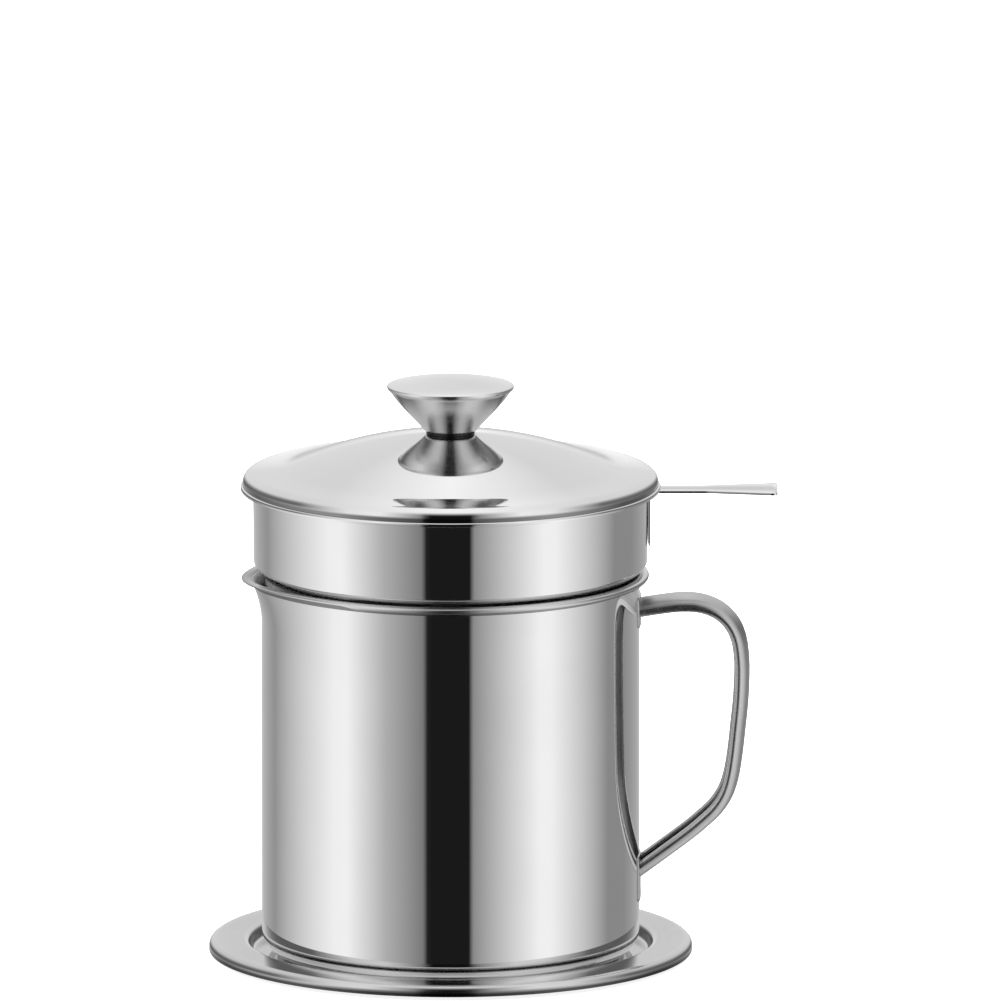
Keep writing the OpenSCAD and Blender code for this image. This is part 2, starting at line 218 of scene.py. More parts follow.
def outward(loop):
    """The loop, turned so that its faces look outwards."""
    p = np.asarray(loop, float)
    x, y = p[:, 0], p[:, 1]
    area = 0.5 * np.sum(x * np.roll(y, -1) - np.roll(x, -1) * y)
    return p if area > 0 else p[::-1]


def lathe(name, loop, seg, dz, mats, body, nodes, smooth=38.0):
    v, f = lathe_data(outward(loop), seg, dz)
    return make(name, v, f, mats, body, nodes, smooth)


def seg_of(n):
    return n


# ------------------------------------------------------------------ materials
def new_mat(name):
    m = bpy.data.materials.new(name)
    m.use_nodes = True
    nt = m.node_tree
    nt.nodes.clear()
    out = nt.nodes.new("ShaderNodeOutputMaterial")
    b = nt.nodes.new("ShaderNodeBsdfPrincipled")
    nt.links.new(b.outputs[0], out.inputs[0])
    return m, nt, b


def node(nt, kind, **kw):
    n = nt.nodes.new(kind)
    for k, v in kw.items():
        setattr(n, k, v)
    return n


def noise(nt, vec, scale, detail=2.0, rough=0.5, dist=0.0):
    n = node(nt, "ShaderNodeTexNoise")
    n.inputs["Scale"].default_value = scale
    n.inputs["Detail"].default_value = detail
    n.inputs["Roughness"].default_value = rough
    n.inputs["Distortion"].default_value = dist
    nt.links.new(vec, n.inputs["Vector"])
    return n.outputs["Fac"]


def map_range(nt, fac, a, b, lo=0.0, hi=1.0):
    n = node(nt, "ShaderNodeMapRange")
    n.inputs["From Min"].default_value = lo
    n.inputs["From Max"].default_value = hi
    n.inputs["To Min"].default_value = a
    n.inputs["To Max"].default_value = b
    nt.links.new(fac, n.inputs["Value"])
    return n.outputs["Result"]


def math_node(nt, op, a, b=None, clamp=False):
    n = node(nt, "ShaderNodeMath", operation=op)
    n.use_clamp = clamp
    for i, x in enumerate((a, b)):
        if x is None:
            continue
        if hasattr(x, "links"):
            nt.links.new(x, n.inputs[i])
        else:
            n.inputs[i].default_value = x
    return n.outputs[0]


def scaled(nt, vec, s):
    n = node(nt, "ShaderNodeMapping")
    n.inputs["Scale"].default_value = s
    nt.links.new(vec, n.inputs["Vector"])
    return n.outputs["Vector"]


def polar(nt, vec):
    """(radius, angle, height) of the object's own coordinates, in metres and turns."""
    s = node(nt, "ShaderNodeSeparateXYZ")
    nt.links.new(vec, s.inputs[0])
    r = math_node(nt, "SQRT", math_node(nt, "ADD", math_node(nt, "MULTIPLY", s.outputs[0], s.outputs[0]),
                                        math_node(nt, "MULTIPLY", s.outputs[1], s.outputs[1])))
    a = math_node(nt, "ARCTAN2", s.outputs[1], s.outputs[0])
    return r, a, s.outputs[2]


def combine(nt, x, y, z):
    c = node(nt, "ShaderNodeCombineXYZ")
    for i, v in enumerate((x, y, z)):
        if hasattr(v, "links"):
            nt.links.new(v, c.inputs[i])
        else:
            c.inputs[i].default_value = v
    return c.outputs[0]


def bump(nt, b, height, distance, strength=1.0, prev=None):
    n = node(nt, "ShaderNodeBump")
    n.inputs["Strength"].default_value = strength
    n.inputs["Distance"].default_value = distance
    nt.links.new(height, n.inputs["Height"])
    if prev is not None:
        nt.links.new(prev, n.inputs["Normal"])
    return n.outputs["Normal"]


def steel(name, colour, rough, rough_var, grain, grain_depth, lines=None, wave=0.0, aniso=0.0, smudge=0.04, painted_shade_bands=()):
    """Polished or brushed steel. grain: 'ring' for turned lines, 'up' for lines along Z, None for plain polish. Each
    shade band is a band of heights, in mm, darkened in the base colour as painted shade: (from, to, softness, how
    dark)."""
    m, nt, b = new_mat(name)
    tc = node(nt, "ShaderNodeTexCoord")
    obj = tc.outputs["Object"]
    b.inputs["Metallic"].default_value = 1.0
    if aniso:
        b.inputs["Anisotropic"].default_value = aniso
        b.inputs["Anisotropic Rotation"].default_value = 0.25
        t = node(nt, "ShaderNodeTangent", direction_type="RADIAL", axis="Z")
        nt.links.new(t.outputs[0], b.inputs["Tangent"])
    r, a, z = polar(nt, obj)
    # cloudy marks of polishing and handling, in colour and in gloss
    cloud = noise(nt, obj, 38.0, 4.0, 0.55, 0.3)
    fine = noise(nt, obj, 420.0, 3.0, 0.6)
    tint = node(nt, "ShaderNodeMix", data_type="RGBA")
    tint.inputs["A"].default_value = (*[c * (1 - smudge) for c in colour], 1)
    tint.inputs["B"].default_value = (*colour, 1)
    nt.links.new(map_range(nt, cloud, 0.0, 1.0, 0.35, 0.62), tint.inputs["Factor"])
    base = tint.outputs["Result"]
    # painted shade: each band darkens the base colour between two heights
    for lo, hi, soft, dark in painted_shade_bands:
        up = map_range(nt, z, 0.0, 1.0, (lo - soft) * MM, (lo + soft) * MM)
        down = map_range(nt, z, 1.0, 0.0, (hi - soft) * MM, (hi + soft) * MM)
        mul = node(nt, "ShaderNodeMix", data_type="RGBA", blend_type="MULTIPLY")
        nt.links.new(math_node(nt, "MULTIPLY", up, down), mul.inputs["Factor"])
        nt.links.new(base, mul.inputs["A"])
        mul.inputs["B"].default_value = (dark, dark, dark, 1)
        base = mul.outputs["Result"]
    nt.links.new(base, b.inputs["Base Color"])
    if grain == "ring":
        # turned lines: fine in radius and height, long round the axis
        vec = combine(nt, math_node(nt, "MULTIPLY", r, 1.0), math_node(nt, "MULTIPLY", a, 0.0016), z)
        g = noise(nt, vec, lines or 2600.0, 3.0, 0.6)
        g2 = noise(nt, vec, (lines or 2600.0) * 0.22, 2.0, 0.5)
    elif grain == "up":
        vec = scaled(nt, obj, (1.0, 1.0, 0.02))
        g = noise(nt, vec, lines or 2600.0, 3.0, 0.6)
        g2 = noise(nt, vec, (lines or 2600.0) * 0.3, 2.0, 0.5)
    else:
        g = fine
        g2 = noise(nt, obj, 160.0, 2.0, 0.5)
    mix = math_node(nt, "ADD", math_node(nt, "MULTIPLY", g, 0.65), math_node(nt, "MULTIPLY", g2, 0.35))
    rr = math_node(nt, "ADD", map_range(nt, mix, rough - rough_var, rough + rough_var, 0.3, 0.7),
                   map_range(nt, cloud, 0.0, rough_var, 0.4, 0.7))
    nt.links.new(rr, b.inputs["Roughness"])
    nrm = bump(nt, b, mix, grain_depth * MM)
    if wave:
        slow = noise(nt, scaled(nt, obj, (1.0, 1.0, 0.5)), 14.0, 1.0, 0.4)
        nrm = bump(nt, b, slow, wave * MM, prev=nrm)
    nt.links.new(nrm, b.inputs["Normal"])
    return m


M_POT = steel("steel_mirror", (0.80, 0.80, 0.802), 0.03, 0.01, None, 0.0005, smudge=0.02)
# painted shade: a dark band on the lower half of the rolled rim and just below it
M_RIM = steel("steel_satin_rim", (0.70, 0.70, 0.702), 0.22, 0.05, "ring", 0.004, 2600.0, smudge=0.06,
              painted_shade_bands=[(POT_Z + POT_H - 5.2, POT_Z + POT_H - 1.75, 0.35, 0.35)])
M_POT_IN = steel("steel_brushed_inside", (0.93, 0.93, 0.93), 0.5, 0.08, "ring", 0.012, 2300.0, aniso=0.85)
M_BAND = steel("steel_mirror_band", (0.80, 0.80, 0.802), 0.028, 0.01, None, 0.0005, smudge=0.02)
M_BAND_IN = steel("steel_band_inside", (0.80, 0.80, 0.802), 0.07, 0.03, "ring", 0.003, 1500.0)
# painted shade: a dark band round the lower part of the lid's lip
M_LID = steel("steel_mirror_lid", (0.80, 0.80, 0.802), 0.05, 0.015, "ring", 0.0012, 2400.0, smudge=0.02,
              painted_shade_bands=[(LID_Z - 3.2, LID_Z - 1.5, 0.35, 0.3)])
# painted shade: the skirt is darkened under the lid's lip, in the groove above its bead and at its bottom edge
M_SKIRT = steel("steel_mirror_skirt", (0.80, 0.80, 0.802), 0.05, 0.015, "ring", 0.0012, 2400.0, smudge=0.02,
                painted_shade_bands=[(LID_Z - 3.4, LID_Z + 2, 0.9, 0.3), (LID_Z - SKIRT_H + 2.5, LID_Z - SKIRT_H + 2.95, 0.18, 0.1),
                       (LID_Z - SKIRT_H - 1, LID_Z - SKIRT_H + 0.35, 0.3, 0.3)])
M_TRAY = steel("steel_polished_tray", (0.66, 0.66, 0.662), 0.1, 0.025, "ring", 0.002, 2400.0, smudge=0.03)
# painted dark reflection: the lower part of the tray's rolled edge is darkened in the base colour
M_TRAY_EDGE = steel("steel_tray_edge", (0.66, 0.66, 0.662), 0.14, 0.03, "ring", 0.002, 2400.0, smudge=0.03,
                    painted_shade_bands=[(-1.0, 2.75, 0.55, 0.12)])
M_BEAD = steel("steel_satin_bead", (0.74, 0.74, 0.742), 0.24, 0.05, None, 0.004, smudge=0.06)
M_HANDLE = steel("steel_handle", (0.72, 0.72, 0.722), 0.1, 0.03, None, 0.002, smudge=0.06)
M_STRAP = steel("steel_satin_strap", (0.61, 0.61, 0.612), 0.4, 0.05, "up", 0.006, 2400.0, smudge=0.08)
# painted shade: the strap's hollow side facing the pot gets a dark base colour
M_HOLLOW = steel("steel_hollow_painted_shade", (0.34, 0.34, 0.342), 0.34, 0.06, None, 0.01, smudge=0.2)
M_KNOB = steel("steel_turned_knob", (0.72, 0.72, 0.722), 0.2, 0.05, "ring", 0.006, 3000.0, aniso=0.6, smudge=0.05)
M_CAP = steel("steel_knob_cap", (0.80, 0.80, 0.802), 0.16, 0.04, "ring", 0.004, 3000.0, smudge=0.02)
M_FILTER = steel("steel_filter", (0.70, 0.70, 0.702), 0.16, 0.05, None, 0.003, smudge=0.08)
M_WELD = steel("steel_plate", (0.52, 0.52, 0.522), 0.14, 0.05, None, 0.008, smudge=0.2)
M_NECK = steel("steel_dark_neck", (0.05, 0.05, 0.05), 0.3, 0.06, "ring", 0.006, 3000.0, smudge=0.2)
M_SCREW = steel("steel_screw", (0.60, 0.60, 0.605), 0.24, 0.06, "ring", 0.006, 3500.0, smudge=0.15)
M_BRASS = steel("brass_turned", (0.72, 0.53, 0.26), 0.28, 0.06, "ring", 0.006, 3500.0, smudge=0.15)

# ------------------------------------------------------------------ drip tray
ring = [(TRAY_RING - 3.2 + 6.4 * t, SHEET + 0.08 * (1 - math.cos(2 * math.pi * t)) / 2) for t in np.linspace(0, 1, 33)]
# the wall leaves the brim in a wide bend, drops steeply and meets the floor in another
steep = math.radians(75)
w_fil, w_run, w_drop = 1.5, TRAY_MOUTH + 1.0 - TRAY_FLOOR, TRAY_H - SHEET
w_len = ((w_drop - w_fil * (1 - math.cos(steep))) - (w_run - w_fil * math.sin(steep)) * math.tan(steep / 2)) / (
    math.sin(steep) - math.cos(steep) * math.tan(steep / 2))
w_bend = (w_run - w_fil * math.sin(steep) - w_len * math.cos(steep)) / math.sin(steep)
wall = [(TRAY_FLOOR + w_fil * math.sin(a), SHEET + w_fil * (1 - math.cos(a))) for a in np.linspace(0, steep, 13)]
wall += [(TRAY_FLOOR + w_run - w_bend * math.sin(a), TRAY_H - w_bend * (1 - math.cos(a))) for a in np.linspace(steep, 0, 29)]
edge = [(72.0, TRAY_H)]
edge += [(TRAY_R - 2.6 + 2.6 * math.sin(a), TRAY_H - 2.4 * (1 - math.cos(a))) for a in np.linspace(0, math.pi / 2, 25)]
edge += [(TRAY_R, TRAY_H - TRAY_EDGE_H + 0.5), (TRAY_R, TRAY_H - TRAY_EDGE_H + 0.02)]
top = clean([(0, SHEET), (8, SHEET), (20, SHEET), (32, SHEET)] + ring + [(45, SHEET), (56, SHEET)] + wall + edge)
nrm = normals(top)
nrm[0] = (0, 1)
low = top - SHEET * nrm
low[0] = (0, 0)
end_c = (top[-1] + low[-1]) / 2
tray_loop = list(top) + [end_c + (0.3 * math.cos(x), -0.27 * math.sin(x)) for x in np.linspace(0, math.pi, 9)[1:-1]] + list(low[::-1])
tray = lathe("tray_dish", tray_loop, seg_of(320), 0.0, [M_TRAY, M_TRAY_EDGE], "tray", ["drip_tray"])
me = tray.data
me.polygons.foreach_set("material_index", np.array([int(math.hypot(p.center.x, p.center.y) > (TRAY_R - 2.5) * MM) for p in me.polygons],
                                                  dtype=np.int32))

# ------------------------------------------------------------------ pot
def from_lip(a):
    return np.abs((a - 180 + 540) % 360 - 180)


def lip_rise(z):
    return np.clip((z - POT_H + LIP_H) / LIP_H, 0, 1) ** 1.8


RX, RZ = (RIM_OUT + SHEET) / 2, RIM_H / 2
P_IN = POT_R - SHEET
STEP = 46.0
rows, inner = [], []


def add(points, is_in):
    for q in points:
        rows.append(q)
        inner.append(is_in)


add([(1e-9, 0.7), (15, 0.7), (30, 0.7), (44, 0.7)], False)
add([(STEP, 0.7), (STEP + 0.35, 0.62), (STEP + 0.75, 0.35), (STEP + 1.15, 0.08), (STEP + 1.5, 0), (51, 0), (53, 0)], False)
add(arc((POT_R - POT_CORNER, POT_CORNER), POT_CORNER, -90, 0, 20), False)
add([(POT_R, z) for z in np.linspace(12, POT_H - LIP_H - 1, 12)], False)
add([(POT_R, POT_H - d) for d in np.linspace(LIP_H, 3.2, 26)], False)
add([(P_IN + RX + RX * math.cos(math.radians(t)), POT_H - RZ + RZ * math.sin(math.radians(t)))
     for t in np.linspace(-132.5, 150, 34)], False)
add([(P_IN + 0.02, POT_H - RZ + 0.3), (P_IN, POT_H - RZ - 0.2), (P_IN, POT_H - 2.4)], True)
add([(P_IN, POT_H - d) for d in np.linspace(3.2, LIP_H, 22)], True)
add([(P_IN, z) for z in np.linspace(POT_H - LIP_H - 4, 12, 10)], True)
add(arc((POT_R - POT_CORNER, POT_CORNER), POT_CORNER - SHEET, 0, -90, 14), True)
add([(STEP + 1.7, SHEET), (STEP + 1.2, SHEET + 0.1), (STEP + 0.4, SHEET + 0.55), (STEP - 0.1, SHEET + 0.7),
     (44, SHEET + 0.7), (30, SHEET + 0.7), (15, SHEET + 0.7), (1e-9, SHEET + 0.7)], True)

n_ang = 432
angs = np.linspace(0, 360, n_ang, endpoint=False)
lip_d = from_lip(angs)
flat = 1 - 0.42 * ease((LIP_HALF - lip_d) / 9)
narrow = 1 - 0.2 * bell((lip_d - 42) / 13)
pull_a, sink_a = bell(lip_d / 19), bell(lip_d / 32)
verts, faces, mat_i, row_ids = [], [], [], []
ca, sa = np.cos(np.radians(angs)), np.sin(np.radians(angs))
for (r, z), is_in in zip(rows, inner):
    if r < 1e-6:
        row_ids.append([len(verts)])
        verts.append((0, 0, (z + POT_Z) * MM))
        continue
    is_top = z > POT_H - RIM_H
    zz = POT_H - (POT_H - z) * flat if is_top else np.full(n_ang, z)
    rr = np.full(n_ang, r)
    if is_top and r > POT_R:
        rr = POT_R + (r - POT_R) * narrow
    rise = lip_rise(z)
    rr = rr + LIP_OUT * pull_a * rise
    zz = zz - LIP_DROP * sink_a * rise
    row_ids.append(list(range(len(verts), len(verts) + n_ang)))
    verts += [(float(x * c) * MM, float(x * s) * MM, float(y + POT_Z) * MM) for x, c, s, y in zip(rr, ca, sa, zz)]
for k in range(len(rows) - 1):
    a, b = row_ids[k], row_ids[k + 1]
    mi = 1 if (inner[k] and inner[k + 1]) else 0
    if not inner[k] and min(rows[k][1], rows[k + 1][1]) > POT_H - 3.3:
        mi = 2
    for i in range(n_ang):
        j = (i + 1) % n_ang
        if len(a) == 1:
            faces.append((a[0], b[j], b[i]))
        elif len(b) == 1:
            faces.append((a[i], a[j], b[0]))
        else:
            faces.append((a[i], a[j], b[j], b[i]))
        mat_i.append(mi)
make("pot_shell", verts, faces, [M_POT, M_POT_IN, M_RIM], "pot", ["pot_body"], 40.0, mat_i)

# ------------------------------------------------------------------ strap handle
PATH = [(61.5, 116), (69, 117.2), (76, 118), (82.5, 117.6), (88.3, 115.4), (92.7, 111.3), (95.2, 106), (96.2, 99),
        (96.3, 92), (95.9, 84), (95.1, 76), (94, 66), (92.7, 58.5), (90.8, 53), (87.6, 48.2), (83, 43.8), (78.7, 40.2),
        (71, 34.4), (61.5, 27.4)]
HALF = [(0, 5), (2.4, 4.88), (4.6, 4.5), (6.4, 3.85), (7.5, 2.95), (8, 1.9), (7.95, 0.95), (7.45, 0.25), (6.7, 0),
        (5.95, 0.25), (5.7, 0.95), (6.15, 1.5), (6.9, 1.95), (6.75, 2.6), (5.8, 3.25), (4.2, 3.75), (2.2, 4.1), (0, 4.2)]
FACE_R = POT_R + FOOT_T
line = spline(PATH, 9)
half = spline([(-2.4, 4.88)] + [(x * 1.0, y) for x, y in HALF] + [(-2.2, 4.1)], 4)[4:-4] * np.array([STRAP_W / 16, STRAP_D / 5])
loop2 = np.array(list(half) + [(-x, y) for x, y in half[-2:0:-1]])
ns, m = len(line), len(loop2)
tang = np.gradient(line, axis=0)
tang /= np.linalg.norm(tang, axis=1)[:, None]
verts = []
for k in range(ns):
    d = tang[k]
    out = np.array([-d[1], d[0]])
    for u, v in loop2:
        p = line[k] + (v - STRAP_D / 2) * out
        if k in (0, ns - 1):
            p = p + d * (math.sqrt(FACE_R ** 2 - u ** 2) - p[0]) / d[0]
        verts.append((p[0] * MM, u * MM, (p[1] + POT_Z) * MM))
faces = []
for k in range(ns - 1):
    for i in range(m):
        j = (i + 1) % m
        faces.append((k * m + i, k * m + j, (k + 1) * m + j, (k + 1) * m + i))
h = len(half)
for o_, flip in ((0, False), ((ns - 1) * m, True)):
    for side in (0, 1):
        idx = [o_ + (x if side == 0 else (x if x in (0, h - 1) else m - x)) for x in range(h)]
        for i in range((h - 1) // 2):
            q = [idx[i], idx[i + 1], idx[h - 2 - i], idx[h - 1 - i]]
            q = list(dict.fromkeys(q))
            if len(q) > 2:
                faces.append(tuple(q if flip != (side == 1) else q[::-1]))
# satin crown, satin rolled edges, and a hollow darkened as painted shade: by the place along the section
zone = []
for k in range(ns - 1):
    for i in range(m):
        u, v = (loop2[i] + loop2[(i + 1) % m]) / 2
        side_ = i if i < len(half) else m - i
        zone.append(0 if side_ < 4.6 * 4 else (1 if side_ < 10.5 * 4 else 2))
zone += [2] * (len(faces) - len(zone))
strap = make("strap_handle", verts, faces, [M_STRAP, M_BEAD, M_HOLLOW], "pot", ["pot_handle"], 50.0, zone)


def wall_plate(name, width, z0, z1, corner, node_name, dimples):
    """A thin pressed plate on the pot's wall, its edges rounded down to the wall, with small weld dimples."""
    nu, nv = ((64, 56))
    hw, hh, zc = width / 2, (z1 - z0) / 2, (z0 + z1) / 2
    tv = np.sin(np.linspace(-math.pi / 2, math.pi / 2, nv + 1))
    tu = np.sin(np.linspace(-math.pi / 2, math.pi / 2, nu + 1))
    outer, inner_ = [], []
    for b in tv:
        zz = b * hh
        over = abs(zz) - (hh - corner)
        w = hw if over <= 0 else hw - corner + math.sqrt(max(corner ** 2 - over ** 2, 0))
        for a in tu:
            y = a * w
            # distance to the rounded outline
            qx, qz = abs(y) - (hw - corner), abs(zz) - (hh - corner)
            dist = corner - (math.hypot(max(qx, 0), max(qz, 0)) if (qx > 0 or qz > 0) else 0) + (0 if (qx > 0 or qz > 0) else -max(qx, qz))
            e = min(max(dist / 0.45, 0), 1)
            t = FOOT_T * math.sqrt(max(0.0, 1 - (1 - e) ** 2))
            for dy, dz_, rad in dimples:
                g = math.hypot(y - dy, zc + zz - dz_) / rad
                t -= 0.3 * math.exp(-(g * 1.3) ** 4)
            for lst, rr in ((outer, POT_R + max(t, 0.0)), (inner_, POT_R - 0.05)):
                lst.append((math.sqrt(rr * rr - y * y) * MM, y * MM, (zc + zz + POT_Z) * MM))
    W = nu + 1
    n0 = len(outer)
    faces = []
    for j in range(nv):
        for i in range(nu):
            a, b, c, d = j * W + i, j * W + i + 1, (j + 1) * W + i + 1, (j + 1) * W + i
            faces.append((a, b, c, d))
            faces.append((n0 + d, n0 + c, n0 + b, n0 + a))
    for i in range(nu):
        faces.append((i + 1, i, n0 + i, n0 + i + 1))
        k = nv * W
        faces.append((k + i, k + i + 1, n0 + k + i + 1, n0 + k + i))
    for j in range(nv):
        faces.append((j * W, (j + 1) * W, n0 + (j + 1) * W, n0 + j * W))
        k = nu
        faces.append(((j + 1) * W + k, j * W + k, n0 + j * W + k, n0 + (j + 1) * W + k))
    return make(name, outer + inner_, faces, M_WELD, "pot", [node_name], 60.0)


wall_plate("upper_foot_plate", 19, 110, 120.4, 2.0, "handle_upper_foot", [(-4.2, 111.7, 1.3), (4.2, 111.7, 1.3)])
wall_plate("lower_foot_plate", 19, 17.9, 33.4, 2.0, "handle_lower_foot", [(-4.6, 20.8, 1.5), (4.6, 20.8, 1.5)])

# ------------------------------------------------------------------ strainer
LOW_M, TOP_M, HT = S_LOW - THIN / 2, S_R - THIN / 2, THIN / 2
brim = spline([(SB_R - HT, -1.3), (SB_R - HT, -0.85), (SB_R - HT - 0.15, -0.5), (SB_R - HT - 0.5, -0.3),
               (SB_R - HT - 0.9, -HT), (TOP_M + 2.4, -HT), (TOP_M + 1.2, -HT), (TOP_M + 0.65, -0.4), (TOP_M + 0.25, -0.75),
               (TOP_M, -1.5), (TOP_M - 0.03, -4)], 5)
shoulder = [(TOP_M - 0.25 - (TOP_M - 0.25 - LOW_M) * float(ease(t)), -25.3 - 5.5 * t) for t in np.linspace(0, 1, 41)]
C_R = 2.25
low_c = (LOW_M - C_R, -S_H + HT + C_R)
mid = [tuple(q) for q in brim] + [(TOP_M - 0.08, -8), (TOP_M - 0.15, -14), (TOP_M - 0.22, -21), (TOP_M - 0.25, -24)] + shoulder
mid += [(LOW_M, low_c[1] + 0.2)] + arc(low_c, C_R, 0, -90, 12) + [(LOW_M - C_R - 2, -S_H + HT), (LOW_M - C_R - 4.3, -S_H + HT)]
mid = clean(mid, 0.02)
s_loop = sheet_loop(mid, -HT, HT)
v, f = lathe_data(outward(s_loop), seg_of(360), S_Z)
strainer = make("strainer_band", v, f, [M_BAND, M_BAND_IN], "strainer", ["strainer_bowl"], 38.0)
# the inner side of the wall and shoulder has the softer finish
me = strainer.data
idx = np.zeros(len(me.polygons), dtype=np.int32)
for p in me.polygons:
    c, nn = p.center, p.normal
    if c.z < (S_Z - 0.7) * MM and nn.x * c.x + nn.y * c.y < 0:
        idx[p.index] = 1
me.polygons.foreach_set("material_index", idx)

FL_IN = LOW_M - C_R - 4.3
PL_R = LOW_M - C_R - 0.1
PL_Z = S_Z - S_H + THIN


def filter_mesh():
    """A fine perforated sheet: six-sided cells with a round-ish hole in each, and a plain rim."""
    pitch = 1.5
    hole = pitch * 0.29
    t = 0.4
    verts, faces, seen = [], [], {}

    def vert(x, y, z):
        key = (round(x, 3), round(y, 3), z)
        if key not in seen:
            seen[key] = len(verts)
            verts.append((x * MM, y * MM, (PL_Z + z) * MM))
        return seen[key]

    reach = FL_IN - 0.4
    n = int(reach / (pitch * 0.866)) + 1
    corner = pitch / math.sqrt(3)
    for j in range(-n, n + 1):
        for i in range(-n - 1, n + 2):
            cx, cy = (i + (abs(j) % 2) / 2) * pitch, j * pitch * 0.8660254
            if math.hypot(cx, cy) + corner > reach:
                continue
            o = [(cx + corner * math.cos(math.radians(30 + 60 * k)), cy + corner * math.sin(math.radians(30 + 60 * k))) for k in range(6)]
            q = [(cx + hole * math.cos(math.radians(30 + 60 * k)), cy + hole * math.sin(math.radians(30 + 60 * k))) for k in range(6)]
            ot, ob = [vert(x, y, t) for x, y in o], [vert(x, y, 0.0) for x, y in o]
            base = len(verts)
            for x, y in q:
                verts.append((x * MM, y * MM, (PL_Z + t) * MM))
            for x, y in q:
                verts.append((x * MM, y * MM, PL_Z * MM))
            for k in range(6):
                l = (k + 1) % 6
                faces.append((ot[k], ot[l], base + l, base + k))
                faces.append((ob[l], ob[k], base + 6 + k, base + 6 + l))
                faces.append((base + k, base + l, base + 6 + l, base + 6 + k))
    # plain rim round the perforated field, a hair thicker so that it closes over the cells' edge
    rim = [(reach - 1.9, -0.01), (PL_R, -0.01), (PL_R, t + 0.01), (reach - 1.9, t + 0.01)]
    rv, rf = lathe_data(outward(rim), seg_of(240), PL_Z)
    k = len(verts)
    return verts + list(rv), faces + [tuple(a + k for a in q) for q in rf]


v, f = filter_mesh()
make("filter_screen", v, f, M_FILTER, "strainer", ["filter_plate"], 40.0)
cr = sheet_loop([(FL_IN + 1.0, 0.3), (FL_IN + 2.0, 0.3), (PL_R - 0.4, 0.3)], -0.3, 0.3)
lathe("screen_ring", cr, seg_of(300), PL_Z + 0.4, M_BAND_IN, "strainer", ["filter_clamp_ring"], 40.0)

# flat handle: leg on the wall, bend under the brim, flared blade
B_T, B_Z, LEG_IN, B_X = 0.9, -1.35, S_R + 0.05, 108.0
bend = 1.0
ctr = [(LEG_IN + B_T / 2, z) for z in np.linspace(-20, B_Z - B_T / 2 - bend, 14)]
ctr += [(LEG_IN + B_T / 2 + bend - bend * math.cos(a), B_Z - B_T / 2 - bend + bend * math.sin(a)) for a in np.linspace(0, math.pi / 2, 9)[1:]]
ctr += [(x, B_Z - B_T / 2) for x in np.linspace(LEG_IN + 3, B_X - 1.5, 34)]
ctr += [(B_X - 1.5 + 1.5 * math.sin(a), B_Z - B_T / 2) for a in np.linspace(0, math.pi / 2, 9)[1:]]
ctr = np.array(ctr)
td = np.gradient(ctr, axis=0)
td /= np.linalg.norm(td, axis=1)[:, None]
sec = []
rr_ = 0.32
for cx, cy, a0 in ((1, 1, 0), (-1, 1, 90), (-1, -1, 180), (1, -1, 270)):
    for a in np.radians(np.linspace(a0, a0 + 90, 6)):
        sec.append((cx, cy, math.cos(a) * rr_, math.sin(a) * rr_))
verts, m = [], len(sec)
for k, (x, z) in enumerate(ctr):
    d = td[k]
    out = np.array([-d[1], d[0]])
    w = 5.25 if x < 84 else 5.25 + (9.5 - 5.25) * (x - 84) / (B_X - 1.5 - 84)
    if x > B_X - 1.5:
        w = 9.5 - 1.5 + 1.5 * math.sqrt(max(0.0, 1 - ((x - B_X + 1.5) / 1.5) ** 2))
    tt = B_T
    if k == 0:
        w, tt = w - 0.25, B_T * 0.55
    elif k == len(ctr) - 1:
        w, tt = w - 0.2, B_T * 0.55
    hug = min(1.0, max(0.0, (B_Z - B_T - z) / 1.2)) if z < B_Z - B_T else 0.0
    for cx, cy, ox, oy in sec:
        y = cx * (w - rr_) + ox
        e = cy * (tt / 2 - min(rr_, tt / 2 - 0.02)) + oy * min(1.0, (tt / 2 - 0.02) / rr_)
        p = np.array([x, z]) + out * e
        lean = (math.sqrt(LEG_IN ** 2 - y ** 2) - LEG_IN) * hug
        verts.append(((p[0] + lean) * MM, y * MM, (p[1] + S_Z) * MM))
faces = []
for k in range(len(ctr) - 1):
    for i in range(m):
        j = (i + 1) % m
        faces.append((k * m + j, k * m + i, (k + 1) * m + i, (k + 1) * m + j))
faces.append(tuple(range(m)))
faces.append(tuple((len(ctr) - 1) * m + i for i in range(m))[::-1])
make("strainer_blade", verts, faces, M_HANDLE, "strainer", ["strainer_handle"], 50.0)

# ------------------------------------------------------------------ lid
# The dome is drawn by its slope, so that the mirror finish shows no kinks: [radius, slope in degrees]
SLOPE = np.array([(8.3, 4.4), (13, 6.5), (18, 8.6), (26, 11.4), (34, 14.9), (42, 18.4), (48, 21), (51.3, 21.8), (53.2, 20.3),
                  (55, 14.6), (56.3, 10), (58, 7.3), (60, 6.2), (62.5, 4.4), (64.2, 3.4), (65.3, 8), (66.3, 17), (67.2, 30), (67.8, 43)])
r_ = np.linspace(8.3, 67.8, 240)
s_ = np.interp(r_, SLOPE[:, 0], SLOPE[:, 1])
for _ in range(12):
    s_[1:-1] = s_[1:-1] * 0.5 + (s_[:-2] + s_[2:]) * 0.25
drop = np.concatenate([[0], np.cumsum(np.tan(np.radians((s_[1:] + s_[:-1]) / 2)) * np.diff(r_))])
drop *= (DOME_H - EDGE_H + 1.2) / drop[-1]
dome = [(r, DOME_H - d) for r, d in zip(r_, drop)]
seat = [(SCREW_R + 0.3, DOME_H), (5, DOME_H), (8, DOME_H)]
lip = [tuple(q) for q in spline([(LID_R - 2.1, EDGE_H - 0.4), (LID_R - 0.9, EDGE_H - 1.2), (LID_R - 0.25, EDGE_H - 2.15),
                                 (LID_R, EDGE_H - 3.1), (LID_R, -2.3), (LID_R, -LID_LIP)], 6)[7:]]
lid_line = clean(seat + dome + lip, 0.02)
